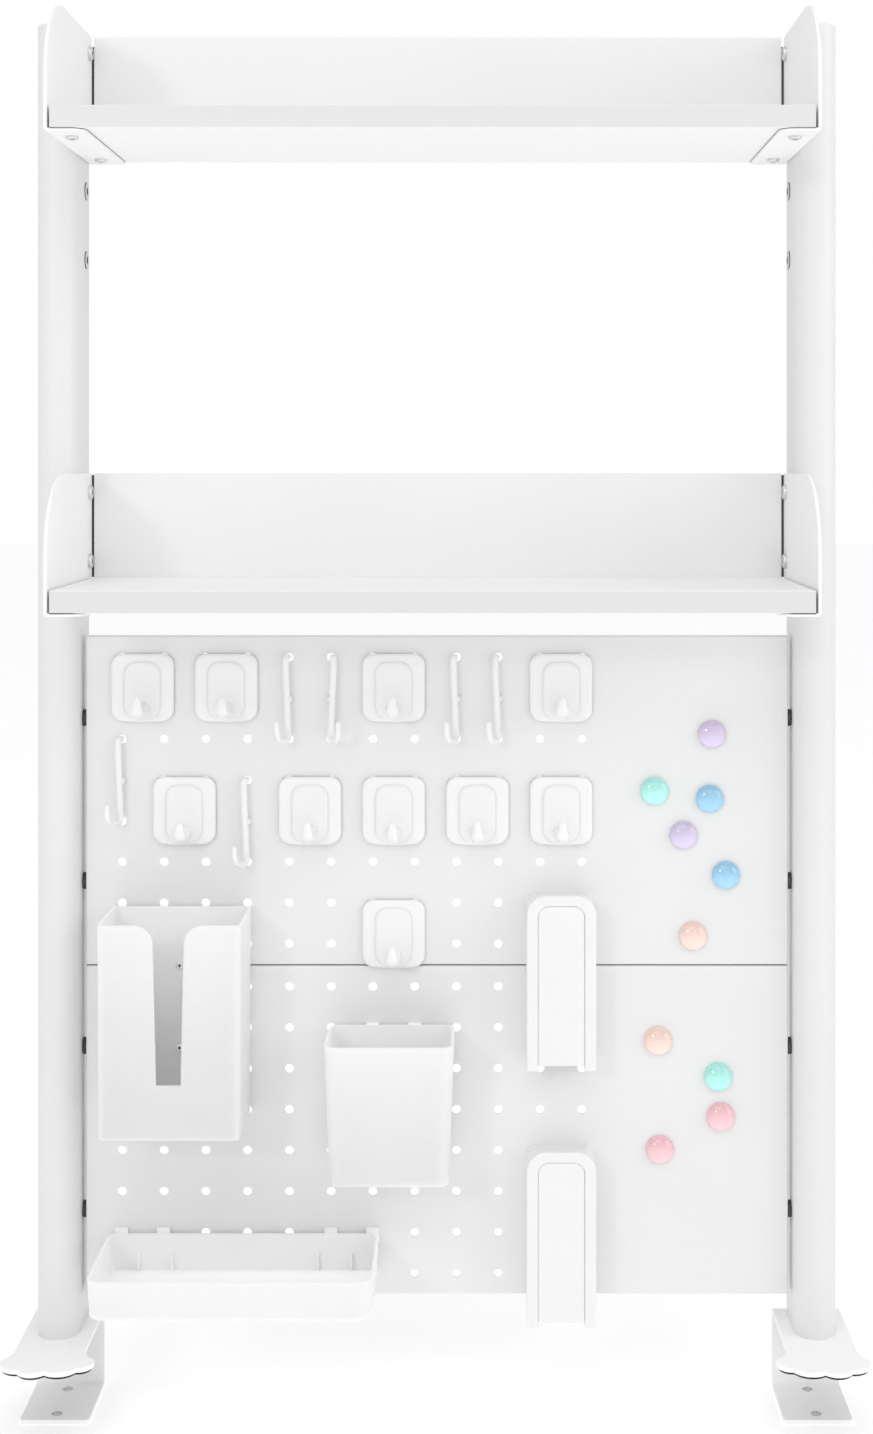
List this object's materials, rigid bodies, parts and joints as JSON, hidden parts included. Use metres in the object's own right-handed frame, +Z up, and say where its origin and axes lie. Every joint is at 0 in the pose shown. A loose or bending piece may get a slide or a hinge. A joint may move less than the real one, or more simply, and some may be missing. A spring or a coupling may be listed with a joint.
{
  "type": "desk-clamp pegboard organiser",
  "caption": "White desk-clamp organiser: twin posts, shelves with end plates, steel pegboard panels, plug-in hooks, box, cup, tray, fold-down rests and dome magnets.",
  "frame": {"origin": "on the desk's top surface, midway between the two posts, in the plane through both posts' centres", "axes": "+X to the user's right, +Y away from the user, +Z up along the posts"},
  "size_m": [0.6022, 0.165, 0.991],
  "materials": {
    "post_coat": "smooth satin powder coat",
    "bracket_coat": "smooth satin powder coat",
    "stop_coat": "fine matt powder coat",
    "panel_coat": "fine matt powder coat",
    "board_laminate": "white melamine-faced board with banded edges",
    "cap_plastic": "fine-grained moulded plastic",
    "dark_plastic": "black moulded nylon",
    "pad_rubber": "dense foam rubber",
    "plated_steel": "zinc plated",
    "hook_plastic": "satin injection moulded ABS",
    "peg_plastic": "satin injection moulded ABS",
    "box_plastic": "satin injection moulded ABS",
    "cup_plastic": "satin injection moulded ABS",
    "tray_plastic": "satin injection moulded ABS",
    "rest_plastic": "satin injection moulded ABS",
    "magnet_lilac": "glossy translucent dome",
    "magnet_mint": "glossy translucent dome",
    "magnet_blue": "glossy translucent dome",
    "magnet_peach": "glossy translucent dome",
    "magnet_pink": "glossy translucent dome"
  },
  "bodies": {
    "wall": {"post_right": "post_coat", "post_cap_right": "cap_plastic", "foot_plug_right": "dark_plastic", "clamp_bracket_right": "bracket_coat", "clamp_pad_right": "pad_rubber", "shelf_bracket_upper_right": "bracket_coat", "shelf_bracket_middle_right": "bracket_coat", "post_left": "post_coat", "post_cap_left": "cap_plastic", "foot_plug_left": "dark_plastic", "clamp_bracket_left": "bracket_coat", "clamp_pad_left": "pad_rubber", "shelf_bracket_upper_left": "bracket_coat", "shelf_bracket_middle_left": "bracket_coat", "post_inserts": "plated_steel", "foot_screws": "plated_steel", "shelf_board_upper": "board_laminate", "back_stop_upper": "stop_coat", "shelf_board_middle": "board_laminate", "back_stop_middle": "stop_coat", "bracket_post_screws": "plated_steel", "board_screws": "plated_steel", "pegboard_upper": "panel_coat", "pegboard_lower": "panel_coat", "panel_spacers": "dark_plastic", "panel_screws": "plated_steel", "square_hook_1": "hook_plastic", "square_hook_2": "hook_plastic", "square_hook_3": "hook_plastic", "square_hook_4": "hook_plastic", "square_hook_5": "hook_plastic", "square_hook_6": "hook_plastic", "square_hook_7": "hook_plastic", "square_hook_8": "hook_plastic", "square_hook_9": "hook_plastic", "square_hook_10": "hook_plastic", "j_peg_1": "peg_plastic", "j_peg_2": "peg_plastic", "j_peg_3": "peg_plastic", "j_peg_4": "peg_plastic", "j_peg_5": "peg_plastic", "j_peg_6": "peg_plastic", "rest_frame_upper": "rest_plastic", "rest_frame_lower": "rest_plastic", "rest_pins": "plated_steel"},
    "tissue_box": {"tissue_box": "box_plastic"},
    "pencil_cup": {"pencil_cup": "cup_plastic"},
    "tray": {"tray": "tray_plastic"},
    "rest_flap_upper": {"rest_flap_upper": "rest_plastic"},
    "rest_flap_lower": {"rest_flap_lower": "rest_plastic"},
    "magnet_1": {"magnet_1": "magnet_lilac"},
    "magnet_2": {"magnet_2": "magnet_mint"},
    "magnet_3": {"magnet_3": "magnet_blue"},
    "magnet_4": {"magnet_4": "magnet_lilac"},
    "magnet_5": {"magnet_5": "magnet_blue"},
    "magnet_6": {"magnet_6": "magnet_peach"},
    "magnet_7": {"magnet_7": "magnet_peach"},
    "magnet_8": {"magnet_8": "magnet_mint"},
    "magnet_9": {"magnet_9": "magnet_pink"},
    "magnet_10": {"magnet_10": "magnet_pink"}
  },
  "joints": [
    {"name": "tissue_box_lift", "type": "slide", "parent": "wall", "child": "tissue_box", "axis": [0, 0, 1], "range_m": [0, 0.003]},
    {"name": "pencil_cup_lift", "type": "slide", "parent": "wall", "child": "pencil_cup", "axis": [0, 0, 1], "range_m": [0, 0.003]},
    {"name": "tray_lift", "type": "slide", "parent": "wall", "child": "tray", "axis": [0, 0, 1], "range_m": [0, 0.003]},
    {"name": "rest_flap_upper_fold", "type": "hinge", "parent": "wall", "child": "rest_flap_upper", "pos_m": [0.0883, -0.032, 0.2055], "axis": [1, 0, 0], "range_deg": [0, 90]},
    {"name": "rest_flap_lower_fold", "type": "hinge", "parent": "wall", "child": "rest_flap_lower", "pos_m": [0.0883, -0.032, 0.0249], "axis": [1, 0, 0], "range_deg": [0, 90]},
    {"name": "magnet_1_pull", "type": "slide", "parent": "wall", "child": "magnet_1", "axis": [0, -1, 0], "range_m": [0, 0.03]},
    {"name": "magnet_2_pull", "type": "slide", "parent": "wall", "child": "magnet_2", "axis": [0, -1, 0], "range_m": [0, 0.03]},
    {"name": "magnet_3_pull", "type": "slide", "parent": "wall", "child": "magnet_3", "axis": [0, -1, 0], "range_m": [0, 0.03]},
    {"name": "magnet_4_pull", "type": "slide", "parent": "wall", "child": "magnet_4", "axis": [0, -1, 0], "range_m": [0, 0.03]},
    {"name": "magnet_5_pull", "type": "slide", "parent": "wall", "child": "magnet_5", "axis": [0, -1, 0], "range_m": [0, 0.03]},
    {"name": "magnet_6_pull", "type": "slide", "parent": "wall", "child": "magnet_6", "axis": [0, -1, 0], "range_m": [0, 0.03]},
    {"name": "magnet_7_pull", "type": "slide", "parent": "wall", "child": "magnet_7", "axis": [0, -1, 0], "range_m": [0, 0.03]},
    {"name": "magnet_8_pull", "type": "slide", "parent": "wall", "child": "magnet_8", "axis": [0, -1, 0], "range_m": [0, 0.03]},
    {"name": "magnet_9_pull", "type": "slide", "parent": "wall", "child": "magnet_9", "axis": [0, -1, 0], "range_m": [0, 0.03]},
    {"name": "magnet_10_pull", "type": "slide", "parent": "wall", "child": "magnet_10", "axis": [0, -1, 0], "range_m": [0, 0.03]}
  ]
}
